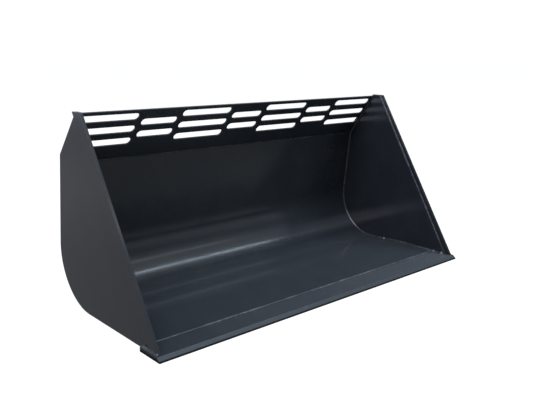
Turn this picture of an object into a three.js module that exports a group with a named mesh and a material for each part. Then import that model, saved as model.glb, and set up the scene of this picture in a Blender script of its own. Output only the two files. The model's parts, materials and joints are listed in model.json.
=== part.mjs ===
// A welded skid steer bucket with a slotted spill guard and a quick-attach hitch.
//
// Units are millimetres. +X runs along the bucket's width, +Y from the cutting edge to the
// hitch, and +Z is up from the ground that the bucket stands on. Outlines are drawn in a
// working frame whose y = 0 is the front foot of the side bars; the finished group is moved
// along Y so that the origin is under the middle of the whole bucket.

import * as THREE from 'three';

// ---- driving dimensions ----

const EDGE_LENGTH = 1830;       // the cutting edge, end to end
const EDGE_OVERHANG = 10;       // how far the cutting edge stands out past each side bar
const EDGE_THICKNESS = 18;
const EDGE_DEPTH = 127;         // front lip to rear edge
const EDGE_NOSE = 21;           // how far the lip stands in front of the side bars
const EDGE_LEDGE = 4;           // flat top left in front of the side bars
const EDGE_LAND = 4;            // height of the blunt front face under the bevel

const TOP_Z = 810;              // top of the side plates
const FRONT_TOP_Y = 504;        // front edge of the side bars at the top
const PLATE_TOP_REAR_Y = 564;   // rear end of the side plates' flat top
const KNEE_Y = 714;             // where the sloping rear edge meets the back
const KNEE_Z = 625;
const BACK_LEAN = THREE.MathUtils.degToRad(5.3);   // the back leans forward going up
const HEEL_RADIUS = 234;        // outside of the heel bend, which touches the ground
const HEEL_SEGMENTS = 20;
const FLOOR_BEND_Y = 330;       // where the level floor starts to fall towards the heel

const PLATE_THICKNESS = 8;
const PLATE_SETBACK_FOOT = 28;  // side plate's front edge behind the bar's, at the foot
const PLATE_SETBACK_TOP = 14;   // the same at the top
const BAR_THICKNESS = 12;
const BAR_WIDTH = 55;
const SHEET = 6;                // the shell and the spill guard
const WELD_GAP = 0.3;           // clearance that the welds fill

const SHELL_TOP_Z = 583;        // where the shell ends and the spill guard starts
const GUARD_DROP = 6;           // the guard's top edge, below the side plates' top

const SLOT_HEIGHT = 36;
const LONG_SLOT = 270;
const SHORT_SLOT = 180;
const SLOT_GROUP_GAP = 20;      // metal between neighbouring groups of slots
const SLOT_ROW_PITCH = 66;
const FIRST_ROW = 34;           // middle of the top row, down from the guard's top edge
const SLOT_GROUPS = 7;          // long and short groups in turn
const LONG_GROUP_ROWS = 3;
const SHORT_GROUP_ROWS = 2;     // half a pitch lower than the long groups' rows
const SLOT_END_SEGMENTS = 8;

const GUARD_BAR_WIDTH = 40;     // flat bar along the foot of the guard, on its back
const GUARD_BAR_THICKNESS = 10;
const GUARD_BAR_FROM_TOP = 202; // upper edge of that bar, down from the guard's top edge

const WEAR_STRIP_WIDTH = 60;    // strips under the floor, level with the cutting edge
const WEAR_STRIP_START_Y = 120;
const WEAR_STRIP_X = [-690, -230, 230, 690];

const HITCH_HALF_WIDTH = 565;   // outer faces of the two hitch ears
const HITCH_STANDOFF = 30;      // the shell's back to the front of the face plate
const FACE_PLATE = 6;
const FACE_PLATE_FOOT = -505;   // along the back, from the knee
const WINDOW_TOP = -185;
const WINDOW_FOOT = -420;
const WINDOW_CORNER = 30;
const WINDOW_BORDER = 50;       // metal left beside the ribs and the ears
const HITCH_BAR = 10;           // thickness of the hook and the latch lip
const HOOK_LEVEL = -98;         // underside of the hook before its bend
const HOOK_BEND_RUN = 3;        // bend of the hook, behind the face plate
const HOOK_REACH = 78;          // from the back to the hook's tip
const LIP_LENGTH = 78;
const LIP_DROOP = THREE.MathUtils.degToRad(15);
const LATCH_SLOT_X = 420;       // middle of each latch pin slot
const LATCH_SLOT_WIDTH = 60;
const LATCH_SLOT_DEPTH = 36;
const LATCH_SLOT_CORNER = 5;
const LATCH_SLOT_START = 24;    // slot's front edge, from the lip's front edge
const EAR_THICKNESS = 8;
const EAR_MARGIN = 6;           // the ears stand out this far around the hook and the lip
const EAR_WAIST = 22;           // the ears' depth behind the face plate at their middle
const MID_RIB_X = 190;
const GUSSET_X = [-380, 0, 380];
const GUSSET_THICKNESS = 8;
const GUSSET_HEIGHT = 38;
const GUSSET_TOE = 6;           // blunt ends of the gussets

// ---- dimensions worked out from them ----

const BAR_OUTER_X = EDGE_LENGTH / 2 - EDGE_OVERHANG;
const PLATE_OUTER_X = BAR_OUTER_X - BAR_THICKNESS - WELD_GAP;
const PLATE_INNER_X = PLATE_OUTER_X - PLATE_THICKNESS;
const INSIDE_HALF_WIDTH = PLATE_INNER_X - WELD_GAP;
const FOOT_Z = EDGE_THICKNESS + WELD_GAP;    // foot of the bars, on top of the cutting edge
const EDGE_REAR_Y = EDGE_DEPTH - EDGE_NOSE;
const BEHIND_EDGE_Y = EDGE_REAR_Y + WELD_GAP;
const FLOOR_Z = EDGE_THICKNESS - SHEET;      // the floor's top is flush with the cutting edge

const HEEL_CENTRE_Z = HEEL_RADIUS;
const TANGENT_Z = HEEL_CENTRE_Z + HEEL_RADIUS * Math.sin(BACK_LEAN);
const TANGENT_Y = backY(TANGENT_Z);
const HEEL_CENTRE_Y = TANGENT_Y - HEEL_RADIUS * Math.cos(BACK_LEAN);

const frontLength = Math.hypot(FRONT_TOP_Y, TOP_Z - FOOT_Z);
const FRONT_COS = (TOP_Z - FOOT_Z) / frontLength;   // of the front edge's angle from upright

// The guard's rear face meets the plates' sloping rear edges at the guard's top, and its inner
// face meets the shell's inner face at the shell's top edge.
const rearEdgeSlope = (KNEE_Y - PLATE_TOP_REAR_Y) / (TOP_Z - KNEE_Z);
const GUARD_FOOT_Y = backY(SHELL_TOP_Z) - SHEET / Math.cos(BACK_LEAN);
const guardRun = GUARD_FOOT_Y - PLATE_TOP_REAR_Y - GUARD_DROP * rearEdgeSlope;
const guardRise = TOP_Z - GUARD_DROP - SHELL_TOP_Z;
const guardReach = Math.hypot(guardRun, guardRise);
const GUARD_LEAN = Math.atan2(guardRun, guardRise) + Math.asin(SHEET / guardReach);
const GUARD_LENGTH = Math.sqrt(guardReach ** 2 - SHEET ** 2);

// The floor falls from its bend along a line that touches the heel's circle.
const bendToCentreY = HEEL_CENTRE_Y - FLOOR_BEND_Y;
const bendToCentreZ = HEEL_CENTRE_Z - FLOOR_Z;
const FLOOR_FALL = Math.asin(HEEL_RADIUS / Math.hypot(bendToCentreY, bendToCentreZ))
  - Math.atan2(bendToCentreZ, bendToCentreY);
const HEEL_FOOT_ANGLE = -Math.PI / 2 - FLOOR_FALL;

// How far along the back the heel bend starts, from the knee.
const HEEL_START = -(KNEE_Z - TANGENT_Z) / Math.cos(BACK_LEAN);

// The back's outer surface at height z.
function backY(z) {
  return KNEE_Y + (KNEE_Z - z) * Math.tan(BACK_LEAN);
}

// ---- building blocks ----

function paint(colour, roughness) {
  return new THREE.MeshStandardMaterial({ color: colour, roughness, metalness: 0.15 });
}

const ANTHRACITE = 0x3a3f45;
const bodyPaint = () => paint(ANTHRACITE, 0.3);
const edgePaint = () => paint(ANTHRACITE, 0.35);
const hitchPaint = () => paint(ANTHRACITE, 0.4);

function named(name, geometry, material) {
  const mesh = new THREE.Mesh(geometry, material);
  mesh.name = name;
  return mesh;
}

function shapeOf(points) {
  const shape = new THREE.Shape();
  points.forEach(([a, b], i) => (i === 0 ? shape.moveTo(a, b) : shape.lineTo(a, b)));
  return shape;
}

function rectangle(path, x0, y0, x1, y1) {
  path.moveTo(x0, y0);
  path.lineTo(x1, y0);
  path.lineTo(x1, y1);
  path.lineTo(x0, y1);
  path.lineTo(x0, y0);
  return path;
}

function roundedHole(x0, y0, x1, y1, r) {
  const quarter = Math.PI / 2;
  const path = new THREE.Path();
  path.absarc(x1 - r, y0 + r, r, -quarter, 0, false);
  path.absarc(x1 - r, y1 - r, r, 0, quarter, false);
  path.absarc(x0 + r, y1 - r, r, quarter, 2 * quarter, false);
  path.absarc(x0 + r, y0 + r, r, 2 * quarter, 3 * quarter, false);
  path.closePath();
  return path;
}

// Extrudes a shape drawn on the axes u and v by a thickness along u x v, from an origin.
function sheetOn(shape, thickness, origin, u, v, curveSegments = SLOT_END_SEGMENTS) {
  const options = { depth: thickness, bevelEnabled: false, curveSegments };
  const geometry = new THREE.ExtrudeGeometry(shape, options);
  const normal = new THREE.Vector3().crossVectors(u, v);
  const place = new THREE.Matrix4().makeBasis(u, v, normal).setPosition(origin);
  return geometry.applyMatrix4(place);
}

const X = new THREE.Vector3(1, 0, 0);
const Y = new THREE.Vector3(0, 1, 0);
const Z = new THREE.Vector3(0, 0, 1);

// A piece whose outline is drawn in y and z and whose thickness runs along X.
function profile(shape, fromX, toX) {
  return sheetOn(shape, toX - fromX, new THREE.Vector3(fromX, 0, 0), Y, Z, HEEL_SEGMENTS);
}

// The same plate on both sides of the bucket, between two distances from its middle.
function onBothSides(name, shape, nearX, farX, material) {
  return [
    named(`${name}_left`, profile(shape, -farX, -nearX), material()),
    named(`${name}_right`, profile(shape, nearX, farX), material()),
  ];
}

// ---- side plates and their front bars ----

function sidePlateShape() {
  const foot = PLATE_SETBACK_FOOT / FRONT_COS;
  const top = FRONT_TOP_Y + PLATE_SETBACK_TOP / FRONT_COS;
  const shape = new THREE.Shape();
  shape.moveTo(foot, FOOT_Z);
  shape.lineTo(BEHIND_EDGE_Y, FOOT_Z);
  shape.lineTo(BEHIND_EDGE_Y, 0);
  shape.lineTo(HEEL_CENTRE_Y, 0);
  shape.absarc(HEEL_CENTRE_Y, HEEL_CENTRE_Z, HEEL_RADIUS, -Math.PI / 2, BACK_LEAN, false);
  shape.lineTo(KNEE_Y, KNEE_Z);
  shape.lineTo(PLATE_TOP_REAR_Y, TOP_Z);
  shape.lineTo(top, TOP_Z);
  return shape;
}

function sideBarShape() {
  const width = BAR_WIDTH / FRONT_COS;
  return shapeOf([
    [0, FOOT_Z],
    [width, FOOT_Z],
    [FRONT_TOP_Y + width, TOP_Z],
    [FRONT_TOP_Y, TOP_Z],
  ]);
}

// ---- shell: floor, heel and back bent from one sheet ----

function shellShape() {
  const innerRadius = HEEL_RADIUS - SHEET;
  const innerTopY = backY(SHELL_TOP_Z) - SHEET / Math.cos(BACK_LEAN);
  const innerBendY = FLOOR_BEND_Y + SHEET * Math.tan(FLOOR_FALL / 2);
  const shape = new THREE.Shape();
  shape.moveTo(BEHIND_EDGE_Y, FLOOR_Z);
  shape.lineTo(FLOOR_BEND_Y, FLOOR_Z);
  shape.absarc(HEEL_CENTRE_Y, HEEL_CENTRE_Z, HEEL_RADIUS, HEEL_FOOT_ANGLE, BACK_LEAN, false);
  shape.lineTo(backY(SHELL_TOP_Z), SHELL_TOP_Z);
  shape.lineTo(innerTopY, SHELL_TOP_Z);
  shape.absarc(HEEL_CENTRE_Y, HEEL_CENTRE_Z, innerRadius, BACK_LEAN, HEEL_FOOT_ANGLE, true);
  shape.lineTo(innerBendY, EDGE_THICKNESS);
  shape.lineTo(BEHIND_EDGE_Y, EDGE_THICKNESS);
  return shape;
}

// ---- spill guard and the bar along its foot ----

// The guard's own axes: "up" runs up its slope and its thickness runs to the rear.
const GUARD_UP = new THREE.Vector3(0, -Math.sin(GUARD_LEAN), Math.cos(GUARD_LEAN));
const GUARD_REAR = new THREE.Vector3(0, Math.cos(GUARD_LEAN), Math.sin(GUARD_LEAN));
const GUARD_FOOT = new THREE.Vector3(0, GUARD_FOOT_Y, SHELL_TOP_Z);
const GUARD_LEFT = new THREE.Vector3(-1, 0, 0);

// A slot with round ends, centred at (x, up).
function slotPath(x, up, length) {
  const radius = SLOT_HEIGHT / 2;
  const reach = length / 2 - radius;
  const path = new THREE.Path();
  path.absarc(x + reach, up, radius, -Math.PI / 2, Math.PI / 2, false);
  path.absarc(x - reach, up, radius, Math.PI / 2, 1.5 * Math.PI, false);
  path.closePath();
  return path;
}

function guardSlots() {
  const isLong = (group) => group % 2 === 0;
  const lengthOf = (group) => (isLong(group) ? LONG_SLOT : SHORT_SLOT);
  const groups = [...Array(SLOT_GROUPS).keys()];
  const metal = SLOT_GROUP_GAP * (SLOT_GROUPS - 1);
  const total = groups.reduce((sum, group) => sum + lengthOf(group), metal);
  const slots = [];
  let start = -total / 2;
  for (const group of groups) {
    const rows = isLong(group) ? LONG_GROUP_ROWS : SHORT_GROUP_ROWS;
    const firstRow = FIRST_ROW + (isLong(group) ? 0 : SLOT_ROW_PITCH / 2);
    for (let row = 0; row < rows; row += 1) {
      const up = GUARD_LENGTH - firstRow - row * SLOT_ROW_PITCH;
      slots.push(slotPath(start + lengthOf(group) / 2, up, lengthOf(group)));
    }
    start += lengthOf(group) + SLOT_GROUP_GAP;
  }
  return slots;
}

function spillGuard() {
  const shape = new THREE.Shape();
  rectangle(shape, -INSIDE_HALF_WIDTH, WELD_GAP, INSIDE_HALF_WIDTH, GUARD_LENGTH);
  shape.holes = guardSlots();
  return sheetOn(shape, SHEET, GUARD_FOOT, GUARD_LEFT, GUARD_UP);
}

function guardBar() {
  const top = GUARD_LENGTH - GUARD_BAR_FROM_TOP;
  const shape = rectangle(
    new THREE.Shape(), -INSIDE_HALF_WIDTH, top - GUARD_BAR_WIDTH, INSIDE_HALF_WIDTH, top);
  const origin = GUARD_FOOT.clone().addScaledVector(GUARD_REAR, SHEET + WELD_GAP);
  return sheetOn(shape, GUARD_BAR_THICKNESS, origin, GUARD_LEFT, GUARD_UP);
}

// ---- cutting edge and wear strips ----

function cuttingEdgeShape() {
  return shapeOf([
    [-EDGE_NOSE, 0],
    [EDGE_REAR_Y, 0],
    [EDGE_REAR_Y, EDGE_THICKNESS],
    [-EDGE_LEDGE, EDGE_THICKNESS],
    [-EDGE_NOSE, EDGE_LAND],
  ]);
}

function wearStrips() {
  const shape = rectangle(
    new THREE.Shape(), WEAR_STRIP_START_Y, 0, FLOOR_BEND_Y, FLOOR_Z - WELD_GAP);
  return WEAR_STRIP_X.map((x, i) => {
    const geometry = profile(shape, x - WEAR_STRIP_WIDTH / 2, x + WEAR_STRIP_WIDTH / 2);
    return named(`wear_strip_${i + 1}`, geometry, edgePaint());
  });
}

// ---- quick-attach hitch ----

// The hitch is drawn in the frame of the shell's back: "out" is the distance behind the
// back's outer surface, and "up" the distance along it from the knee, so both the face plate
// and the ribs stand square to the back.
const BACK_UP = new THREE.Vector3(0, -Math.sin(BACK_LEAN), Math.cos(BACK_LEAN));
const BACK_OUT = new THREE.Vector3(0, Math.cos(BACK_LEAN), Math.sin(BACK_LEAN));
const KNEE = new THREE.Vector3(0, KNEE_Y, KNEE_Z);
const HITCH_INNER_X = HITCH_HALF_WIDTH - EAR_THICKNESS - WELD_GAP;
const FACE_OUT = HITCH_STANDOFF + FACE_PLATE;

// A point at (out, up) in the plane x.
function behindBack(x, out, up) {
  return new THREE.Vector3(x, 0, 0).add(KNEE)
    .addScaledVector(BACK_OUT, out).addScaledVector(BACK_UP, up);
}

// An outline in (out, up), made thick along X from one x to another.
function hitchProfile(shape, fromX, toX) {
  return sheetOn(shape, toX - fromX, behindBack(fromX, 0, 0), BACK_OUT, BACK_UP, HEEL_SEGMENTS);
}

// The hook leaves the back squarely and bends down to the rear at 45 degrees just behind the
// face plate, so its underside falls as fast as it runs outwards from there.
const HOOK_BEND = FACE_OUT + HOOK_BEND_RUN;
const hookUnderside = (out) => HOOK_LEVEL - Math.max(out - HOOK_BEND, 0);
const hookTopside = (out) => HOOK_LEVEL + Math.min(
  HITCH_BAR, HOOK_BEND - out + HITCH_BAR * Math.SQRT2);
const HOOK_TOP_BEND = HOOK_BEND + HITCH_BAR * (Math.SQRT2 - 1);

function hookShape() {
  const endCut = HITCH_BAR / Math.SQRT2;
  return shapeOf([
    [WELD_GAP, HOOK_LEVEL],
    [HOOK_BEND, HOOK_LEVEL],
    [HOOK_REACH - endCut, hookUnderside(HOOK_REACH - endCut)],
    [HOOK_REACH, hookTopside(HOOK_REACH)],
    [HOOK_TOP_BEND, HOOK_LEVEL + HITCH_BAR],
    [WELD_GAP, HOOK_LEVEL + HITCH_BAR],
  ]);
}

const windowBetween = (x0, x1) => roundedHole(x0, WINDOW_FOOT, x1, WINDOW_TOP, WINDOW_CORNER);

function facePlate() {
  const shape = new THREE.Shape();
  const top = HOOK_LEVEL - WELD_GAP;
  rectangle(shape, -HITCH_INNER_X, FACE_PLATE_FOOT, HITCH_INNER_X, top);
  shape.holes = [
    windowBetween(-HITCH_INNER_X + WINDOW_BORDER, -MID_RIB_X - WINDOW_BORDER),
    windowBetween(-MID_RIB_X + WINDOW_BORDER, MID_RIB_X - WINDOW_BORDER),
    windowBetween(MID_RIB_X + WINDOW_BORDER, HITCH_INNER_X - WINDOW_BORDER),
  ];
  const origin = behindBack(0, HITCH_STANDOFF, 0);
  return sheetOn(shape, FACE_PLATE, origin, GUARD_LEFT, BACK_UP);
}

// The lip that the latch pins pass down through; it droops towards its rear edge.
function latchLip() {
  const along = BACK_OUT.clone().multiplyScalar(Math.cos(LIP_DROOP))
    .addScaledVector(BACK_UP, -Math.sin(LIP_DROOP));
  const shape = rectangle(new THREE.Shape(), -HITCH_INNER_X, 0, HITCH_INNER_X, LIP_LENGTH);
  shape.holes = [-LATCH_SLOT_X, LATCH_SLOT_X].map((x) => roundedHole(
    x - LATCH_SLOT_WIDTH / 2,
    LATCH_SLOT_START,
    x + LATCH_SLOT_WIDTH / 2,
    LATCH_SLOT_START + LATCH_SLOT_DEPTH,
    LATCH_SLOT_CORNER,
  ));
  const frontOut = HITCH_STANDOFF + HITCH_BAR * Math.sin(LIP_DROOP);
  const origin = behindBack(0, frontOut, FACE_PLATE_FOOT - WELD_GAP);
  return sheetOn(shape, HITCH_BAR, origin, GUARD_LEFT, along);
}

// The heel's outer surface at a distance along the back below the bend's start.
function heelOut(up) {
  const drop = HEEL_START - up;
  return Math.sqrt(HEEL_RADIUS ** 2 - drop ** 2) - HEEL_RADIUS;
}

function footPlateShape() {
  const top = FACE_PLATE_FOOT;
  const bottom = top - SHEET;
  return shapeOf([
    [heelOut(bottom) + WELD_GAP * 2, bottom],
    [HITCH_STANDOFF - WELD_GAP, bottom],
    [HITCH_STANDOFF - WELD_GAP, top],
    [heelOut(top) + WELD_GAP * 2, top],
  ]);
}

// Draws the edge that follows the shell, from a point on the heel up to one on the back.
function followShell(shape, footUp, topUp) {
  const radius = HEEL_RADIUS + WELD_GAP;
  const footAngle = -Math.asin((HEEL_START - footUp) / radius);
  shape.absarc(-HEEL_RADIUS, HEEL_START, radius, footAngle, 0, false);
  shape.lineTo(WELD_GAP, topUp);
}

function midRibShape() {
  const foot = FACE_PLATE_FOOT + WELD_GAP;
  const rear = HITCH_STANDOFF - WELD_GAP;
  const top = HOOK_LEVEL - WELD_GAP;
  const shape = new THREE.Shape();
  followShell(shape, foot, top);
  shape.lineTo(rear, top);
  shape.lineTo(rear, foot);
  return shape;
}

// The ears close the hitch's ends and keep the carrier's plate from sliding sideways.
function earShape() {
  const top = HOOK_LEVEL + HITCH_BAR + EAR_MARGIN;
  const waistOut = FACE_OUT + EAR_WAIST;
  const lipRear = HITCH_STANDOFF + LIP_LENGTH + EAR_MARGIN;
  const lipFoot = FACE_PLATE_FOOT - LIP_LENGTH * Math.sin(LIP_DROOP) - HITCH_BAR - EAR_MARGIN;
  const hookRear = HOOK_REACH + EAR_MARGIN;
  const hookFoot = hookUnderside(hookRear) - EAR_MARGIN;
  const shape = new THREE.Shape();
  followShell(shape, FACE_PLATE_FOOT - SHEET - EAR_MARGIN, top);
  shape.lineTo(HOOK_TOP_BEND + EAR_MARGIN, top);
  shape.lineTo(hookRear, hookTopside(hookRear) + EAR_MARGIN);
  shape.lineTo(hookRear, hookFoot);
  shape.lineTo(waistOut, hookFoot - EAR_WAIST);
  shape.lineTo(waistOut, FACE_PLATE_FOOT + lipRear - waistOut);
  shape.lineTo(lipRear, FACE_PLATE_FOOT);
  shape.lineTo(lipRear, lipFoot);
  shape.lineTo(FACE_OUT, lipFoot + EAR_MARGIN);
  return shape;
}

// Small triangles that brace the hook from above.
function gussetShape() {
  const foot = HOOK_LEVEL + HITCH_BAR + WELD_GAP;
  return shapeOf([
    [WELD_GAP, foot],
    [HOOK_BEND, foot],
    [HOOK_BEND, foot + GUSSET_TOE],
    [WELD_GAP + GUSSET_TOE, foot + GUSSET_HEIGHT],
    [WELD_GAP, foot + GUSSET_HEIGHT],
  ]);
}

function hookGussets() {
  const half = GUSSET_THICKNESS / 2;
  return GUSSET_X.map((x, i) => named(
    `hook_gusset_${i + 1}`, hitchProfile(gussetShape(), x - half, x + half), hitchPaint()));
}

function hitchEnds(name, shape, nearX, farX) {
  return [
    named(`${name}_left`, hitchProfile(shape, -farX, -nearX), hitchPaint()),
    named(`${name}_right`, hitchProfile(shape, nearX, farX), hitchPaint()),
  ];
}

// ---- assembly ----

function buildBucket() {
  const bucket = new THREE.Group();
  const acrossHitch = (shape) => hitchProfile(shape, -HITCH_INNER_X, HITCH_INNER_X);
  const ribHalf = EAR_THICKNESS / 2;
  bucket.add(
    ...onBothSides('side_plate', sidePlateShape(), PLATE_INNER_X, PLATE_OUTER_X, bodyPaint),
    ...onBothSides('side_bar', sideBarShape(), BAR_OUTER_X - BAR_THICKNESS, BAR_OUTER_X, bodyPaint),
    named('shell_sheet', profile(shellShape(), -INSIDE_HALF_WIDTH, INSIDE_HALF_WIDTH), bodyPaint()),
    named('spill_guard', spillGuard(), bodyPaint()),
    named('guard_rear_bar', guardBar(), bodyPaint()),
    named('cutting_edge', profile(cuttingEdgeShape(), -EDGE_LENGTH / 2, EDGE_LENGTH / 2), edgePaint()),
    ...wearStrips(),
    named('hitch_face_plate', facePlate(), hitchPaint()),
    named('hitch_hook', acrossHitch(hookShape()), hitchPaint()),
    named('hitch_latch_lip', latchLip(), hitchPaint()),
    named('hitch_foot_plate', acrossHitch(footPlateShape()), hitchPaint()),
    ...hitchEnds('hitch_ear', earShape(), HITCH_HALF_WIDTH - EAR_THICKNESS, HITCH_HALF_WIDTH),
    ...hitchEnds('hitch_rib', midRibShape(), MID_RIB_X - ribHalf, MID_RIB_X + ribHalf),
    ...hookGussets(),
  );
  return bucket;
}

const bucket = buildBucket();
const extent = new THREE.Box3().setFromObject(bucket);
bucket.position.y = -(extent.min.y + extent.max.y) / 2;

export default bucket;
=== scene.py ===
import json
import math

import bmesh
import bpy
from mathutils import Matrix, Vector, noise


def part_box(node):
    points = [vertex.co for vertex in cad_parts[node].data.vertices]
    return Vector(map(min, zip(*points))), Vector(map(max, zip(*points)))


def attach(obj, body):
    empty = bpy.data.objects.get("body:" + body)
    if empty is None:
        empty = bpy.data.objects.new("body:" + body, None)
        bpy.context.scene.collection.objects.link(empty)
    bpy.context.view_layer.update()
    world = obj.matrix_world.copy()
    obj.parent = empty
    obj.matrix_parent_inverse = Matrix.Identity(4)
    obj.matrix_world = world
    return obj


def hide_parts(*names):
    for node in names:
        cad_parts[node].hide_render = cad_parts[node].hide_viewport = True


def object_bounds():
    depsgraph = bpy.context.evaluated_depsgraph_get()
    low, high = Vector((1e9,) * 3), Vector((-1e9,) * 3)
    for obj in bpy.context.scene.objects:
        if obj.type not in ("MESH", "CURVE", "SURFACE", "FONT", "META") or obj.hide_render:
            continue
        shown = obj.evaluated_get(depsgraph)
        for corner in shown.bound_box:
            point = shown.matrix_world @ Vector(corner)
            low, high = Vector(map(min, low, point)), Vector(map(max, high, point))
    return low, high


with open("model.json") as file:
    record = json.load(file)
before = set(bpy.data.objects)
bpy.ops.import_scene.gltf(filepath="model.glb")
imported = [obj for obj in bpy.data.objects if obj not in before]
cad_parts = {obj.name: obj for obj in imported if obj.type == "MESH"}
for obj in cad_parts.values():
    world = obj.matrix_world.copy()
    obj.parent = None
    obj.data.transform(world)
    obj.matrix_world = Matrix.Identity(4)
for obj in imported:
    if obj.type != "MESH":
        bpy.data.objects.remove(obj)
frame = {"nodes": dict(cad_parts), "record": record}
cad_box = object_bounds()

MM = 0.001
X_AXIS = Vector((1, 0, 0))
UP = Vector((0, 0, 1))


# ---- camera: its place in metres, angles in degrees, lens and sensor in millimetres ----

CAMERA_PLACE = Vector((-2.0773, -2.2401, 1.0858))
CAMERA_TURN = 42.621        # from +Y towards +X
CAMERA_TILT = 13.372        # down
CAMERA_ROLL = -1.265
CAMERA_LENS = 45.147
SENSOR_WIDTH = 36


def add_camera():
    data = bpy.data.cameras.new("camera")
    data.sensor_fit = "HORIZONTAL"
    data.sensor_width = SENSOR_WIDTH
    data.lens = CAMERA_LENS
    camera = bpy.data.objects.new("camera", data)
    turn = Matrix.Rotation(math.radians(-CAMERA_TURN), 4, "Z")
    tilt = Matrix.Rotation(math.radians(90 - CAMERA_TILT), 4, "X")
    roll = Matrix.Rotation(math.radians(-CAMERA_ROLL), 4, "Z")
    camera.matrix_world = Matrix.Translation(CAMERA_PLACE) @ turn @ tilt @ roll
    bpy.context.scene.collection.objects.link(camera)
    bpy.context.scene.camera = camera


add_camera()


# ---- node trees ----

# Small helpers that add nodes to a material's tree. A value may be a number, a colour or
# another node's output.
class Nodes:
    def __init__(self, tree):
        self.tree = tree
        self.place = tree.nodes.new("ShaderNodeTexCoord").outputs["Object"]

    def join(self, value, socket):
        if isinstance(value, bpy.types.NodeSocket):
            self.tree.links.new(value, socket)
        else:
            socket.default_value = value

    def noise(self, scale, detail, roughness=0.5, distortion=0.0, stretch=None):
        node = self.tree.nodes.new("ShaderNodeTexNoise")
        node.inputs["Scale"].default_value = scale
        node.inputs["Detail"].default_value = detail
        node.inputs["Roughness"].default_value = roughness
        node.inputs["Distortion"].default_value = distortion
        place = self.place
        if stretch:
            mapping = self.tree.nodes.new("ShaderNodeMapping")
            mapping.inputs["Scale"].default_value = stretch
            self.join(self.place, mapping.inputs["Vector"])
            place = mapping.outputs["Vector"]
        self.join(place, node.inputs["Vector"])
        return node.outputs["Fac"]

    def part_of(self, vector, axis):
        node = self.tree.nodes.new("ShaderNodeSeparateXYZ")
        self.join(vector, node.inputs["Vector"])
        return node.outputs[axis]

    def facing_up(self):
        surface = self.tree.nodes.new("ShaderNodeNewGeometry")
        return self.part_of(surface.outputs["Normal"], "Z")

    # Maps a value's range low..high onto start..end, and keeps it inside them.
    def spread(self, value, low, high, start, end):
        node = self.tree.nodes.new("ShaderNodeMapRange")
        self.join(value, node.inputs["Value"])
        for name, number in (("From Min", low), ("From Max", high), ("To Min", start), ("To Max", end)):
            node.inputs[name].default_value = number
        return node.outputs["Result"]

    def calculate(self, operation, a, b):
        node = self.tree.nodes.new("ShaderNodeMath")
        node.operation = operation
        self.join(a, node.inputs[0])
        self.join(b, node.inputs[1])
        return node.outputs["Value"]

    def vector_value(self, operation, a, b=None):
        node = self.tree.nodes.new("ShaderNodeVectorMath")
        node.operation = operation
        self.join(a, node.inputs[0])
        if b:
            self.join(b, node.inputs[1])
        return node.outputs["Value"]

    def mix(self, share, a, b):
        node = self.tree.nodes.new("ShaderNodeMix")
        node.data_type = "RGBA"
        self.join(share, node.inputs["Factor"])
        for name, colour in (("A", a), ("B", b)):
            socket = next(s for s in node.inputs if s.name == name and s.type == "RGBA")
            self.join(colour, socket)
        return next(s for s in node.outputs if s.type == "RGBA")

    # Tilts the shading normal by a height in metres.
    def bump(self, height, distance, strength, normal=None):
        node = self.tree.nodes.new("ShaderNodeBump")
        node.inputs["Distance"].default_value = distance
        node.inputs["Strength"].default_value = strength
        self.join(height, node.inputs["Height"])
        if normal:
            self.join(normal, node.inputs["Normal"])
        return node.outputs["Normal"]

    # A value that follows straight lines between (position, level) pairs.
    def graph(self, value, pairs):
        first, last = pairs[0][0], pairs[-1][0]
        top = max(level for _, level in pairs)
        ramp = self.tree.nodes.new("ShaderNodeValToRGB")
        self.join(self.spread(value, first, last, 0, 1), ramp.inputs["Fac"])
        stops = ramp.color_ramp.elements
        while len(stops) < len(pairs):
            stops.new(0.5)
        for stop, (position, level) in zip(stops, pairs):
            stop.position = (position - first) / (last - first)
            share = level / top
            stop.color = (share, share, share, 1)
        return self.calculate("MULTIPLY", ramp.outputs["Color"], float(top))


# ---- paints ----

PAINT_COLOUR = (0.0153, 0.0191, 0.0242, 1)
PAINT_WARM = (0.018, 0.021, 0.0242, 1)      # where the coat is thinner
# Dust colour, also used for painted light on level faces and for painted highlight on the welds
DUST_AND_LIGHT_COLOUR = (0.13, 0.14, 0.155, 1)
BEVEL_SHEEN_COLOUR = (0.05, 0.066, 0.082, 1)       # painted sheen on the upper part of the cutting edge's bevel
CONTACT_SHADE_COLOUR = (0.004, 0.0045, 0.0055, 1)   # painted shade on the lip, where the steel stands on the ground
CONTACT_SHADE_HEIGHT = (6 * MM, 7.5 * MM)           # painted shade: full below the first height, none above the second
PAINT_IOR = 1.5
PAINT_SHINE = 0.5
# shine of the painted shade near the ground
CONTACT_SHADE_SHINE = 0.1

# How many features of each pattern a metre holds.
CLOUD_SCALE = 7
FILM_SCALE = 45
SCRATCH_SCALE = 160
GLOSS_SCALE = 18
WAVE_SCALE = 5
PEEL_SCALE = 420

# The range of each pattern, within 0 to 1, that counts as none to full.
CLOUD_RANGE = (0.35, 0.7)
FILM_RANGE = (0.22, 0.5)
SCRATCH_RANGE = (0.62, 0.8)
GLOSS_RANGE = (0.3, 0.7)

SCRATCH_STRETCH = (0.06, 1, 1)              # the scratches run along the bucket
SCRATCH_ROUGHNESS = 0.03
WAVE_HEIGHT = 4 * MM
PEEL_HEIGHT = 0.2 * MM

# Upward parts of the normals of level and of bevelled faces.
LEVEL = (0.9, 1.0)
BEVEL_TOP = (0.9, 0.8)
BEVEL_FOOT = (0.5, 0.6)
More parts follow.
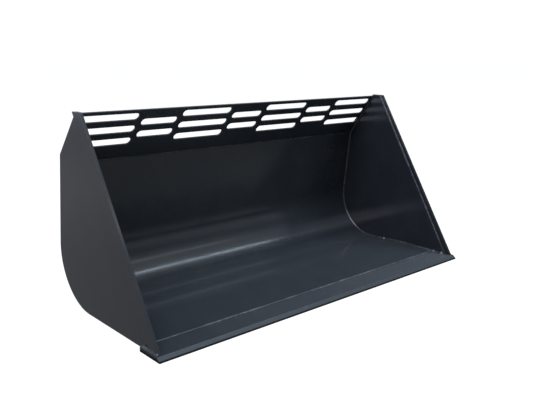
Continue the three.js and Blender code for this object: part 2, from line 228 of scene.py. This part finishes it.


# Cloudy paint under a thin film of dust. Level faces also get painted light in the dust colour, growing
# towards the bucket's right end; the bevel's upper part gets a lighter painted sheen, and the lip gets
# painted shade where it stands on the ground.
def paint_colour(nodes, dust_and_highlight, dust_and_highlight_floor, level_sheen, bevel_sheen, contact_shade):
    clouds = nodes.noise(CLOUD_SCALE, detail=4, roughness=0.55)
    colour = nodes.mix(nodes.spread(clouds, *CLOUD_RANGE, 0, 1), PAINT_COLOUR, PAINT_WARM)
    film = nodes.noise(FILM_SCALE, detail=6, roughness=0.7, distortion=0.4)
    patches = nodes.calculate("MULTIPLY", film, clouds)
    dust_and_light = nodes.spread(patches, *FILM_RANGE, dust_and_highlight_floor, dust_and_highlight_floor + dust_and_highlight)
    # Painted light: level faces take on the dust colour, more towards the bucket's right end.
    level = nodes.spread(nodes.facing_up(), *LEVEL, 0, 1)
    along = nodes.part_of(nodes.place, "X")
    right_sheen = nodes.spread(along, cad_box[0].x, cad_box[1].x, 0, level_sheen)
    dust_and_light = nodes.calculate("ADD", dust_and_light, nodes.calculate("MULTIPLY", level, right_sheen))
    colour = nodes.mix(dust_and_light, colour, DUST_AND_LIGHT_COLOUR)
    # Painted sheen: the upward-facing part of the bevel is drawn lighter and bluer.
    upper = nodes.spread(nodes.facing_up(), *BEVEL_TOP, 0, bevel_sheen)
    lower = nodes.spread(nodes.facing_up(), *BEVEL_FOOT, 0, 1)
    colour = nodes.mix(nodes.calculate("MULTIPLY", upper, lower), colour, BEVEL_SHEEN_COLOUR)
    # Painted shade: the paint turns nearly black at the foot of the steel.
    return nodes.mix(contact_shade, colour, CONTACT_SHADE_COLOUR)


# Uneven gloss with fine rubbed scratches.
def paint_roughness(nodes, low, high):
    scratches = nodes.noise(SCRATCH_SCALE, detail=2, roughness=0.4, stretch=SCRATCH_STRETCH)
    rubbed = nodes.spread(scratches, *SCRATCH_RANGE, 0, SCRATCH_ROUGHNESS)
    patches = nodes.noise(GLOSS_SCALE, detail=5, roughness=0.6)
    return nodes.calculate("ADD", nodes.spread(patches, *GLOSS_RANGE, low, high), rubbed)


# Orange peel over a slow waviness of the steel.
def paint_relief(nodes, peel, wave):
    slow = nodes.bump(nodes.noise(WAVE_SCALE, detail=1), WAVE_HEIGHT, wave)
    return nodes.bump(nodes.noise(PEEL_SCALE, detail=2), PEEL_HEIGHT, peel, slow)


# Sprayed anthracite paint. Roughness runs from the first to the second number, and the rest
# are strengths from 0 to 1.
def paint(name, roughness, peel, wave, dust_and_highlight, level_sheen, dust_and_highlight_floor=0.0, bevel_sheen=0.0, contact_shade_strength=0.0):
    material = bpy.data.materials.new(name)
    material.use_nodes = True
    tree = material.node_tree
    shader = tree.nodes["Principled BSDF"]
    nodes = Nodes(tree)
    # Painted shade: near the ground the paint is drawn darker and less shiny.
    contact_shade = nodes.spread(nodes.part_of(nodes.place, "Z"), *CONTACT_SHADE_HEIGHT, contact_shade_strength, 0)
    shine = nodes.spread(contact_shade, 0, 1, PAINT_SHINE, CONTACT_SHADE_SHINE)
    colour = paint_colour(nodes, dust_and_highlight, dust_and_highlight_floor, level_sheen, bevel_sheen, contact_shade)
    nodes.join(colour, shader.inputs["Base Color"])
    nodes.join(paint_roughness(nodes, *roughness), shader.inputs["Roughness"])
    nodes.join(shine, shader.inputs["Specular IOR Level"])
    nodes.join(PAINT_IOR, shader.inputs["IOR"])
    nodes.join(paint_relief(nodes, peel, wave), shader.inputs["Normal"])
    return material


# Besides dust, these paints carry painted light: a sheen on level faces that grows to the right, a lighter
# sheen on the cutting edge's bevel, and painted shade along its lip.
PLATE_PAINT = {
    "body_paint": paint("body_paint", (0.13, 0.20), peel=0.14, wave=0.16, dust_and_highlight=0.03, level_sheen=0.1),
    "edge_paint": paint(
        "edge_paint", (0.20, 0.28), peel=0.15, wave=0.05, dust_and_highlight=0.03, level_sheen=0.3, bevel_sheen=0.25, contact_shade_strength=1.0),
    "hitch_paint": paint("hitch_paint", (0.16, 0.26), peel=0.15, wave=0.10, dust_and_highlight=0.05, level_sheen=0.04),
}
# The welds get heavy dust patches and an even lift in the dust colour: partly dust, partly painted highlight
# on the beads.
WELD_PAINT = paint("weld_paint", (0.16, 0.24), peel=0.10, wave=0.0, dust_and_highlight=0.75, level_sheen=0.5, dust_and_highlight_floor=0.06)


# ---- plates ----

JOIN_DISTANCE = 0.01 * MM
FLAT_ANGLE = math.radians(1)
SHARP_ANGLE = math.radians(30)
EDGE_ROUNDING = {"body_paint": 0.9 * MM, "edge_paint": 0.8 * MM, "hitch_paint": 1.1 * MM}
ROUNDING_STEPS = 2
FLATTEST_SHADING = 100      # the modifier's top weight for large faces
SLOT_OF = {part["node"]: part["material_slot"] for part in frame["record"]["subparts"]}


# A CAD node's mesh with its split corners joined and its flat faces whole.
def whole_faces(node):
    shape = bmesh.new()
    shape.from_mesh(frame["nodes"][node].data)
    bmesh.ops.remove_doubles(shape, verts=shape.verts, dist=JOIN_DISTANCE)
    bmesh.ops.dissolve_limit(shape, angle_limit=FLAT_ANGLE, verts=shape.verts, edges=shape.edges)
    return shape


def add_piece(name, shape, material):
    mesh = bpy.data.meshes.new(name)
    bmesh.ops.recalc_face_normals(shape, faces=shape.faces)
    for face in shape.faces:
        face.smooth = True
    shape.to_mesh(mesh)
    shape.free()
    mesh.materials.append(material)
    piece = bpy.data.objects.new(name, mesh)
    bpy.context.scene.collection.objects.link(piece)
    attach(piece, "root")
    return piece


# Each plate is its CAD solid with small rounded edges, which catch the light as painted
# steel edges do.
def add_plate(node):
    slot = SLOT_OF[node]
    shape = whole_faces(node)
    sharp = [edge for edge in shape.edges if edge.calc_face_angle(0) > SHARP_ANGLE]
    bmesh.ops.bevel(
        shape, geom=sharp, offset=EDGE_ROUNDING[slot], segments=ROUNDING_STEPS, profile=0.5,
        affect="EDGES", clamp_overlap=True)
    plate = add_piece(node + "_plate", shape, PLATE_PAINT[slot])
    smooth = plate.modifiers.new("even_shading", "WEIGHTED_NORMAL")
    smooth.weight = FLATTEST_SHADING
    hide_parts(node)


for node in sorted(frame["nodes"]):
    add_plate(node)


# ---- the shape of a weld bead ----

RIPPLE_PITCH = 5 * MM
RIPPLE_DEPTH = 0.07         # share of the bead's size
RINGS_PER_RIPPLE = 4
CRESCENT = 0.45             # how far the middle of a ripple runs ahead, in pitches
BEAD_WOBBLE = 0.25          # share of the bead's size
WOBBLE_LENGTH = 40 * MM
LEAST_TAPER = 0.05          # size of a bead's very end, as a share
BURIED = 0.3 * MM           # beads reach into the clearance between the plates
FILLET_BULGE = 1.5          # 2 is a straight fillet, 1 a quarter circle
SECTION_STEPS = 7
SEED_STEP = 3.7             # between the wobbles of one piece's beads


# A fillet's section in a corner: (share of its leg along each of the two surfaces, share of
# the way round).
def fillet_section():
    quarter = math.pi / 2
    turns = [quarter * i / SECTION_STEPS for i in range(SECTION_STEPS + 1)]
    return [(math.cos(t) ** FILLET_BULGE, math.sin(t) ** FILLET_BULGE, t / quarter) for t in turns]


# The section of a bead over a flush joint, as shares of half its width and of its height.
def cap_section():
    turns = [math.pi * i / SECTION_STEPS for i in range(SECTION_STEPS + 1)]
    return [(math.cos(t), math.sin(t), t / math.pi) for t in turns]


FILLET = fillet_section()
CAP = cap_section()


# Points a spacing apart along a path, each with its two section directions.
def even_steps(path, spacing):
    places = []
    for (p, a0, b0), (q, a1, b1) in zip(path, path[1:]):
        count = max(1, round((q - p).length / spacing))
        for i in range(count):
            share = i / count
            places.append((p.lerp(q, share), a0.lerp(a1, share), b0.lerp(b1, share)))
    places.append(path[-1])
    return places


# A bead's size at a length along it, as a share: it wobbles slowly, swells where the welder
# paused, and tapers at both ends.
def bead_size(along, total, end_run, seed, swells, swell_size):
    size = 1 + BEAD_WOBBLE * noise.noise(Vector((along / WOBBLE_LENGTH, seed, 0)))
    for swell in swells:
        size += swell_size * math.exp(-((along - swell * total) / end_run) ** 2)
    from_end = min(along, total - along, end_run) / end_run
    return size * max(LEAST_TAPER, math.sqrt(1 - (1 - from_end) ** 2))


# Adds a closed, rippled bead to a mesh, along a path of (point, direction a, direction b).
# Swells are shares of its length.
def lay_bead(shape, path, width, height, section, seed, swells=(), swell_size=0.0):
    rings = []
    places = even_steps(path, RIPPLE_PITCH / RINGS_PER_RIPPLE)
    total = sum((q[0] - p[0]).length for p, q in zip(places, places[1:]))
    end_run = (width + height) / 2
    along = 0
    before = places[0][0]
    for point, a, b in places:
        along += (point - before).length
        before = point
        whole = bead_size(along, total, end_run, seed, swells, swell_size)
        ring = []
        for u, v, turn in section:
            lead = CRESCENT * (1 - (2 * turn - 1) ** 2)
            wave = abs(math.sin(math.pi * (along / RIPPLE_PITCH + lead)))
            size = whole * (1 + RIPPLE_DEPTH * (math.sqrt(wave) - 1))
            ring.append(shape.verts.new(point + a * (u * width * size) + b * (v * height * size)))
        ring.append(shape.verts.new(point - (a + b) * BURIED))
        rings.append(ring)
    for one, two in zip(rings, rings[1:]):
        for i in range(len(one)):
            j = (i + 1) % len(one)
            shape.faces.new((one[i], one[j], two[j], two[i]))
    shape.faces.new(rings[0])
    shape.faces.new(rings[-1])


# One run of a bead: its path, its section's width, height and shape, and its swells.
def fillet(path, leg, **swelling):
    return (path, leg, leg, FILLET, swelling)


def cap(path, size, **swelling):
    width, height = size
    return (path, width / 2, height, CAP, swelling)


# A piece that holds one or more runs of bead.
def add_weld(name, runs):
    shape = bmesh.new()
    for number, (path, width, height, section, swelling) in enumerate(runs):
        lay_bead(shape, path, width, height, section, len(name) + SEED_STEP * number, **swelling)
    add_piece("weld_" + name, shape, WELD_PAINT)


# ---- outlines that the beads follow ----

NEAR = 1 * MM               # corners this close to the side of a box lie on it
END_FACING = 0.99           # least share of an end face's normal along X


# The outline of a node's end that faces +X, in order.
def end_outline(node):
    shape = whole_faces(node)
    ends = [face for face in shape.faces if face.normal.x > END_FACING]
    outline = [vert.co.copy() for vert in max(ends, key=lambda face: face.calc_area()).verts]
    shape.free()
    return outline


# The part of an outline from one corner to another, taking the way round that passes nearest
# to a third point.
def stretch_of(outline, start, end, near):
    first = min(range(len(outline)), key=lambda i: (outline[i] - start).length)
    last = min(range(len(outline)), key=lambda i: (outline[i] - end).length)
    count = len(outline)
    forward = [outline[(first + i) % count] for i in range((last - first) % count + 1)]
    backward = [outline[(first - i) % count] for i in range((first - last) % count + 1)]
    return min((forward, backward), key=lambda way: min((p - near).length for p in way[1:-1] or way))


# The corners of an outline that reach furthest in a direction.
def furthest(outline, way, count=2):
    return sorted(outline, key=lambda p: -p.dot(way))[:count]


# A path in the plane x, each point with its direction across the plates and its direction
# square to the path; turn is +1 where that one is to the left of the way along.
def profile_path(points, x, across, turn):
    flat = [Vector((x, p.y, p.z)) for p in points]
    path = []
    for i, point in enumerate(flat):
        way = flat[min(i + 1, len(flat) - 1)] - flat[max(i - 1, 0)]
        square = Vector((0, -way.z, way.y)).normalized() * turn
        path.append((point, Vector((across, 0, 0)), square))
    return path


def straight(start, end, a, b):
    return [(Vector(start), Vector(a), Vector(b)), (Vector(end), Vector(a), Vector(b))]


# A path from end to end of the bucket through a point of the section.
def across_bucket(point, half_length, a, b):
    return straight((-half_length, *point.yz), (half_length, *point.yz), a, b)


PLATE_LOW, PLATE_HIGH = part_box("side_plate_right")
BAR_LOW, BAR_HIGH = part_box("side_bar_right")
EDGE_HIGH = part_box("cutting_edge")[1]
SHELL_LOW, SHELL_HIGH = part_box("shell_sheet")
GUARD_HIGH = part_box("spill_guard")[1]
PLATE_INNER_X = PLATE_LOW.x - BURIED

PLATE_OUTLINE = end_outline("side_plate_right")
BAR_OUTLINE = end_outline("side_bar_right")
SHELL_OUTLINE = end_outline("shell_sheet")
GUARD_OUTLINE = end_outline("spill_guard")

SHELL_FRONT = [p for p in SHELL_OUTLINE if p.y < SHELL_LOW.y + NEAR]
SHELL_TOP = [p for p in SHELL_OUTLINE if p.z > SHELL_HIGH.z - NEAR]
SHELL_FRONT_TOP = Vector((SHELL_HIGH.x, SHELL_LOW.y, max(p.z for p in SHELL_FRONT)))
SHELL_FRONT_FOOT = Vector((SHELL_HIGH.x, SHELL_LOW.y, min(p.z for p in SHELL_FRONT)))
SHELL_INNER_TOP = min(SHELL_TOP, key=lambda p: p.y)
SHELL_OUTER_TOP = max(SHELL_TOP, key=lambda p: p.y)
SHELL_MIDDLE = Vector((SHELL_HIGH.x, 0, SHELL_HIGH.z / 2))
SHELL_HEEL = Vector((SHELL_HIGH.x, SHELL_HIGH.y, 0))
SHELL_INSIDE = stretch_of(SHELL_OUTLINE, SHELL_FRONT_TOP, SHELL_INNER_TOP, SHELL_MIDDLE)
SHELL_OUTSIDE = stretch_of(SHELL_OUTLINE, SHELL_FRONT_FOOT, SHELL_OUTER_TOP, SHELL_HEEL)

GUARD_INNER_TOP = min(GUARD_OUTLINE, key=lambda p: p.y)
GUARD_OUTER_TOP = max(GUARD_OUTLINE, key=lambda p: p.z)
GUARD_OUTER_FOOT = max(GUARD_OUTLINE, key=lambda p: p.y)
GUARD_UP = (GUARD_INNER_TOP - SHELL_INNER_TOP).normalized()
GUARD_OUT = Vector((0, GUARD_UP.z, -GUARD_UP.y))


# ---- welds of the bucket ----

INSIDE_LEG = 7 * MM
LEDGE_LEG = 6.8 * MM
BAR_LEG = 6 * MM
BAR_FRONT_LEG = 5.4 * MM
GUARD_LEG = 6 * MM
STRIP_LEG = 4 * MM
OUTSIDE_CAP = (7 * MM, 1.2 * MM)        # width and height
SEAM_CAP = (12 * MM, 3.8 * MM)
GUARD_INSIDE_CAP = (7 * MM, 1.2 * MM)
GUARD_OUTSIDE_CAP = (9 * MM, 2 * MM)

SEAM_Y = (EDGE_HIGH.y + SHELL_LOW.y) / 2
SEAM_FORWARD = 3 * MM                   # the bead lies mostly on the cutting edge
BAR_BEAD_SHARE = 0.993                  # of the bar's length, so that no bead ends above it
UNDERSIDE_CLEAR = 30 * MM               # the outside bead starts this high on the heel
STRIP_END = 10 * MM                     # of a wear strip, left without weld

# Where the welder paused, as shares of the bead's length.
SEAM_SWELLS = (0.006, 0.994)
INSIDE_SWELLS = (0.012, 0.045, 0.27)
LEDGE_SWELLS = (0.1, 0.35, 0.55, 0.8)


# Over the joint between the cutting edge and the floor.
def weld_floor_seam():
    point = Vector((0, SEAM_Y - SEAM_FORWARD, EDGE_HIGH.z))
    path = across_bucket(point, SHELL_HIGH.x, (0, 1, 0), (0, 0, 1))
    add_weld("floor_seam", [cap(path, SEAM_CAP, swells=SEAM_SWELLS, swell_size=0.5)])


# From the front of the floor over the heel and up the guard.
def weld_inside_corner(name, side):
    x = side * PLATE_INNER_X
    front = Vector((x, min(p.y for p in PLATE_OUTLINE), EDGE_HIGH.z))
    path = profile_path([front] + SHELL_INSIDE + [GUARD_INNER_TOP], x, -side, 1)
    add_weld("inside_" + name, [
        fillet(path, INSIDE_LEG, swells=INSIDE_SWELLS, swell_size=0.7)])


# On top of the cutting edge, along the foot of the side bar.
def weld_ledge(name, side):
    x = side * BAR_HIGH.x
    z = EDGE_HIGH.z
    path = straight((x, BAR_LOW.y, z), (x, SEAM_Y, z), (side, 0, 0), (0, 0, 1))
    add_weld("ledge_" + name, [
        fillet(path, LEDGE_LEG, swells=LEDGE_SWELLS, swell_size=0.25)])


# Along the bar's rear edge, on the side plate's outer face, and along the side plate's front
# edge, on the bar's inner face.
def weld_bar(name, side):
    foot_rear = max((p for p in BAR_OUTLINE if p.z < BAR_LOW.z + NEAR), key=lambda p: p.y)
    top_rear = max((p for p in BAR_OUTLINE if p.z > BAR_HIGH.z - NEAR), key=lambda p: p.y)
    rear_end = foot_rear.lerp(top_rear, BAR_BEAD_SHARE)
    rear = profile_path([foot_rear, rear_end], side * PLATE_HIGH.x, side, -1)
    plate_foot = min((p for p in PLATE_OUTLINE if p.z < BAR_LOW.z + NEAR), key=lambda p: p.y)
    plate_top = min((p for p in PLATE_OUTLINE if p.z > PLATE_HIGH.z - NEAR), key=lambda p: p.y)
    front_end = plate_foot.lerp(plate_top, BAR_BEAD_SHARE)
    front = profile_path([plate_foot, front_end], side * BAR_LOW.x, -side, 1)
    add_weld("bar_" + name, [fillet(rear, BAR_LEG), fillet(front, BAR_FRONT_LEG)])


# Behind the bucket, where shell and guard meet the side plate.
def weld_outside(name, side):
    x = side * PLATE_INNER_X
    heel = [p for p in SHELL_OUTSIDE if p.y > 0 and p.z > UNDERSIDE_CLEAR]
    shell_path = profile_path(heel, x, side, -1)
    guard_path = profile_path([GUARD_OUTER_FOOT, GUARD_OUTER_TOP], x, -side, -1)
    add_weld("outside_" + name, [cap(shell_path, OUTSIDE_CAP), fillet(guard_path, GUARD_LEG)])


# Both sides of the joint between the back and the guard.
def weld_guard_foot():
    middle = (SHELL_OUTER_TOP + GUARD_OUTER_FOOT) / 2
    inside = across_bucket(SHELL_INNER_TOP, GUARD_HIGH.x, GUARD_UP, -GUARD_OUT)
    outside = across_bucket(middle, GUARD_HIGH.x, GUARD_UP, GUARD_OUT)
    add_weld("guard_foot", [cap(inside, GUARD_INSIDE_CAP), cap(outside, GUARD_OUTSIDE_CAP)])


# Both long edges of the bar behind the guard.
def weld_guard_bar():
    near = furthest(end_outline("guard_rear_bar"), -GUARD_OUT)
    low, high = sorted(near, key=lambda p: p.z)
    lower = across_bucket(low, GUARD_HIGH.x, -GUARD_UP, GUARD_OUT)
    upper = across_bucket(high, GUARD_HIGH.x, GUARD_UP, GUARD_OUT)
    add_weld("guard_bar", [fillet(lower, BAR_LEG), fillet(upper, BAR_LEG)])


# Behind the cutting edge, under the floor.
def weld_floor_underside():
    path = across_bucket(SHELL_FRONT_FOOT, SHELL_HIGH.x, (0, 1, 0), (0, 0, -1))
    add_weld("floor_underside", [fillet(path, INSIDE_LEG)])


# Both long sides of a wear strip, under the floor.
def weld_wear_strip(node):
    low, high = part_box(node)
    start, end = low.y + STRIP_END, high.y - STRIP_END
    runs = []
    for x, side in ((low.x, -1), (high.x, 1)):
        path = straight((x, start, high.z), (x, end, high.z), (side, 0, 0), (0, 0, -1))
        runs.append(fillet(path, STRIP_LEG))
    add_weld(node, runs)


weld_floor_seam()
for name, side in (("left", -1), ("right", 1)):
    weld_inside_corner(name, side)
    weld_ledge(name, side)
    weld_bar(name, side)
    weld_outside(name, side)
weld_guard_foot()
weld_guard_bar()
weld_floor_underside()
for node in sorted(frame["nodes"]):
    if node.startswith("wear_strip"):
        weld_wear_strip(node)


# ---- welds of the hitch ----

HITCH_LEG = 6 * MM
UPRIGHT_LEG = 4.8 * MM
HOOK_FOOT_LEG = 3 * MM
GUSSET_LEG = 4 * MM
UPRIGHT_REACH = 1.5 * MM    # from the shell to the corners of a plate that stands on it
OUTLINE_STEP = 2 * MM

UPRIGHTS = ("hitch_rib_left", "hitch_rib_right", "hitch_ear_left", "hitch_ear_right")
GUSSETS = ("hook_gusset_1", "hook_gusset_2", "hook_gusset_3")

BACK_UP = (SHELL_OUTER_TOP - SHELL_OUTSIDE[-2]).normalized()
BACK_OUT = Vector((0, BACK_UP.z, -BACK_UP.y))
SHELL_OUTSIDE_LINE = [
    place[0] for place in even_steps([(p, X_AXIS, UP) for p in SHELL_OUTSIDE], OUTLINE_STEP)]


# Both sides of an upright plate, where it stands on the shell.
def weld_upright(node):
    low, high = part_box(node)
    line = [
        p for p in end_outline(node)
        if min((p.yz - q.yz).length for q in SHELL_OUTSIDE_LINE) < UPRIGHT_REACH]
    line.sort(key=lambda p: p.z)
    runs = []
    for x, side in ((low.x, -1), (high.x, 1)):
        runs.append(fillet(profile_path(line, x, side, -1), UPRIGHT_LEG))
    add_weld(node, runs)


# The hook's two joints with the back, and the face plate's joint under the hook.
def weld_hook():
    half_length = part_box("hitch_face_plate")[1].x
    near = furthest(end_outline("hitch_hook"), -BACK_OUT)
    low, high = sorted(near, key=lambda p: p.z)
    face_top = max(furthest(end_outline("hitch_face_plate"), BACK_UP), key=lambda p: p.dot(BACK_OUT))
    add_weld("hook", [
        fillet(across_bucket(high, half_length, BACK_OUT, BACK_UP), HITCH_LEG),
        fillet(across_bucket(low, half_length, BACK_OUT, -BACK_UP), HITCH_LEG),
        fillet(across_bucket(face_top, half_length, BACK_OUT, -BACK_UP), HOOK_FOOT_LEG),
    ])


# Where the latch lip meets the foot of the face plate.
def weld_latch_lip():
    half_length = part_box("hitch_face_plate")[1].x
    face_foot = max(furthest(end_outline("hitch_face_plate"), -BACK_UP), key=lambda p: p.dot(BACK_OUT))
    path = across_bucket(face_foot, half_length, BACK_OUT, BACK_UP)
    add_weld("latch_lip", [fillet(path, HITCH_LEG)])


# Both sides of a gusset, up the back and along the hook.
def weld_gusset(node):
    low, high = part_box(node)
    outline = end_outline(node)
    back = sorted(furthest(outline, -BACK_OUT), key=lambda p: p.z)
    foot = sorted(furthest(outline, -BACK_UP), key=lambda p: p.dot(BACK_OUT))
    runs = []
    for x, side in ((low.x, -1), (high.x, 1)):
        runs.append(fillet(profile_path(back, x, side, -1), GUSSET_LEG))
        runs.append(fillet(profile_path(foot, x, side, 1), GUSSET_LEG))
    add_weld(node, runs)


for node in UPRIGHTS:
    weld_upright(node)
weld_hook()
weld_latch_lip()
for node in GUSSETS:
    weld_gusset(node)


# ---- floor, backdrop and light ----

STAGE_SIZE = 40
LAYER_DROP = 0.5 * MM       # the stage's flat layers lie one to two of these under the bucket
FLOOR_GLOW = 0.93
FLOOR_GREY = 0.12

COOL = (0.93, 1.0, 1.07)
NEUTRAL = (0.97, 0.99, 1.02)
BLUE = (0.9, 0.95, 1.4)
STEEL_BLUE = (0.8, 0.98, 1.15)
DAYLIGHT = (0.96, 0.97, 1.15)

# Brightness of what the paint mirrors, as a mirror would show it.
# The sky, at some heights above the horizon (the sine of the elevation).
SKY = ((0.0, 0.05), (0.15, 0.45), (0.4, 0.08), (0.7, 0.65), (1.0, 1.0))
# The ground, at some distances in metres from the bucket's middle, to its left rear and
# to its right front.
GROUND_LEFT = ((0.8, 0.29), (1.6, 0.33), (3.0, 0.45), (6.0, 0.36))
GROUND_FRONT = ((0.7, 0.18), (1.4, 0.26), (3.0, 0.0), (6.0, 0.0))
LEFT_REAR = Vector((-0.7, 0.7, 0))
SIDE_BLEND = 0.35           # metres over which the two grounds blend
# The contact shadow's reach out from under each of these nodes.
SHADOW_REACH = {"cutting_edge": 16 * MM, "shell_sheet": 9 * MM}
SHADOW_GLOW = 0.03
HEEL_LINE = Vector((0, 0.237, 0.064))       # where the heel mirrors the long strips


def glow(name, colour, strength):
    material = bpy.data.materials.new(name)
    material.use_nodes = True
    tree = material.node_tree
    tree.nodes.clear()
    lamp = tree.nodes.new("ShaderNodeEmission")
    lamp.inputs["Color"].default_value = (*colour, 1)
    lamp.inputs["Strength"].default_value = strength
    output = tree.nodes.new("ShaderNodeOutputMaterial")
    tree.links.new(lamp.outputs["Emission"], output.inputs["Surface"])
    return material, lamp


# A part of the stage is seen either by the camera or, if not, by the rays that light the paint.
def add_stage(name, build, material, layer, seen):
    mesh = bpy.data.meshes.new(name)
    shape = bmesh.new()
    build(shape)
    shape.to_mesh(mesh)
    shape.free()
    mesh.materials.append(material)
    thing = bpy.data.objects.new(name, mesh)
    thing.location.z = -layer * LAYER_DROP
    bpy.context.scene.collection.objects.link(thing)
    thing.visible_camera = seen
    thing.visible_diffuse = not seen
    thing.visible_glossy = not seen
    thing.visible_transmission = not seen
    thing.visible_shadow = False


def disc(shape):
    bmesh.ops.create_circle(shape, cap_ends=True, segments=64, radius=STAGE_SIZE)


def dome(shape):
    bmesh.ops.create_uvsphere(shape, u_segments=64, v_segments=32, radius=STAGE_SIZE)


# A rectangle under each node of SHADOW_REACH.
def shadow_patches(shape):
    for node, reach in SHADOW_REACH.items():
        low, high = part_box(node)
        left, right = low.x - reach, high.x + reach
        front, rear = low.y - reach, high.y + reach
        corners = ((left, front), (right, front), (right, rear), (left, rear))
        shape.faces.new([shape.verts.new((x, y, 0)) for x, y in corners])


# The pale floor: nearly evenly bright, with only a breath of shadow under the bucket.
def add_floor():
    material, lamp = glow("pale_floor", (1, 1, 1), FLOOR_GLOW)
    tree = material.node_tree
    matt = tree.nodes.new("ShaderNodeBsdfDiffuse")
    matt.inputs["Color"].default_value = (FLOOR_GREY, FLOOR_GREY, FLOOR_GREY, 1)
    both = tree.nodes.new("ShaderNodeAddShader")
    tree.links.new(lamp.outputs["Emission"], both.inputs[0])
    tree.links.new(matt.outputs["BSDF"], both.inputs[1])
    output = next(node for node in tree.nodes if node.type == "OUTPUT_MATERIAL")
    tree.links.new(both.outputs["Shader"], output.inputs["Surface"])
    add_stage("floor", disc, material, layer=1, seen=True)


# The ground that the paint mirrors.
def add_ground():
    material, lamp = glow("grey_ground", NEUTRAL, 1)
    nodes = Nodes(material.node_tree)
    distance = nodes.vector_value("LENGTH", nodes.place)
    left = nodes.graph(distance, GROUND_LEFT)
    front = nodes.graph(distance, GROUND_FRONT)
    side = nodes.vector_value("DOT_PRODUCT", nodes.place, LEFT_REAR)
    share = nodes.spread(side, -SIDE_BLEND, SIDE_BLEND, 0, 1)
    rest = nodes.calculate("SUBTRACT", 1.0, share)
    left = nodes.calculate("MULTIPLY", left, share)
    front = nodes.calculate("MULTIPLY", front, rest)
    nodes.join(nodes.calculate("ADD", left, front), lamp.inputs["Strength"])
    add_stage("ground", disc, material, layer=2, seen=False)


# The dark contact shadow that the lowest faces mirror.
def add_contact_shadow():
    material, _ = glow("contact_shadow", NEUTRAL, SHADOW_GLOW)
    add_stage("contact_shadow", shadow_patches, material, layer=1.5, seen=False)


def add_backdrop():
    material, _ = glow("white_backdrop", (1, 1, 1), 1)
    add_stage("backdrop", dome, material, layer=0, seen=True)


def add_sky():
    world = bpy.data.worlds.new("sky")
    world.use_nodes = True
    bpy.context.scene.world = world
    nodes = Nodes(world.node_tree)
    direction = nodes.place.node.outputs["Generated"]
    background = world.node_tree.nodes["Background"]
    background.inputs["Color"].default_value = (*COOL, 1)
    nodes.join(nodes.graph(nodes.part_of(direction, "Z"), SKY), background.inputs["Strength"])


# A flat lamp that faces a target; its brightness is what a mirror would show of it.
def add_softbox(name, place, target, size, brightness, tint, mirrored=True):
    width, height = size
    data = bpy.data.lights.new(name, "AREA")
    data.shape = "RECTANGLE"
    data.size = width
    data.size_y = height
    data.energy = brightness * math.pi * width * height
    data.color = tint
    lamp = bpy.data.objects.new(name, data)
    way = Vector(target) - Vector(place)
    lamp.matrix_world = Matrix.Translation(place) @ way.to_track_quat("-Z", "Y").to_matrix().to_4x4()
    bpy.context.scene.collection.objects.link(lamp)
    lamp.visible_camera = False
    lamp.visible_glossy = mirrored


# A place at a distance from a point, at an elevation in front of the bucket (towards -Y).
def in_front(point, elevation, distance):
    angle = math.radians(elevation)
    return point + Vector((0, -math.cos(angle), math.sin(angle))) * distance


# The two long strips make the bright line and the faint one on the heel. The other lamps
# light the left end plate, the back, and the inside from the front right and from above.
def add_lamps():
    high = in_front(HEEL_LINE, elevation=74, distance=5)
    low = in_front(HEEL_LINE, elevation=47.5, distance=6)
    add_softbox("strip_high", high, HEEL_LINE, size=(9, 0.25), brightness=9, tint=STEEL_BLUE)
    add_softbox("strip_low", low, HEEL_LINE, size=(9, 0.3), brightness=1.6, tint=NEUTRAL)
    add_softbox("left_wall", (-6, 5, 1.5), (0, 0, 0.5), size=(8, 3), brightness=0.7, tint=BLUE)
    add_softbox("left_top", (-3.5, -1.2, 4.5), (0, 0, 0.3), size=(3, 3), brightness=4.8, tint=DAYLIGHT)
    add_softbox("rear", (3.5, 5, 3), (0, 0, 0.4), size=(3, 3), brightness=3, tint=COOL)
    add_softbox(
        "front_right", (2.2, -2, 2), (0.3, 0, 0.2), size=(1, 1), brightness=8, tint=COOL, mirrored=False)
    add_softbox(
        "front_panel", (3.6, -3, 2.5), (0, 0, 0.3), size=(2.6, 2), brightness=2.4, tint=COOL, mirrored=False)
    add_softbox(
        "overhead", (0, 0, 6), (0, 0, 0), size=(6, 6), brightness=2.3, tint=COOL, mirrored=False)


add_floor()
add_ground()
add_contact_shadow()
add_backdrop()
add_sky()
add_lamps()
bpy.context.scene.view_settings.view_transform = "Standard"
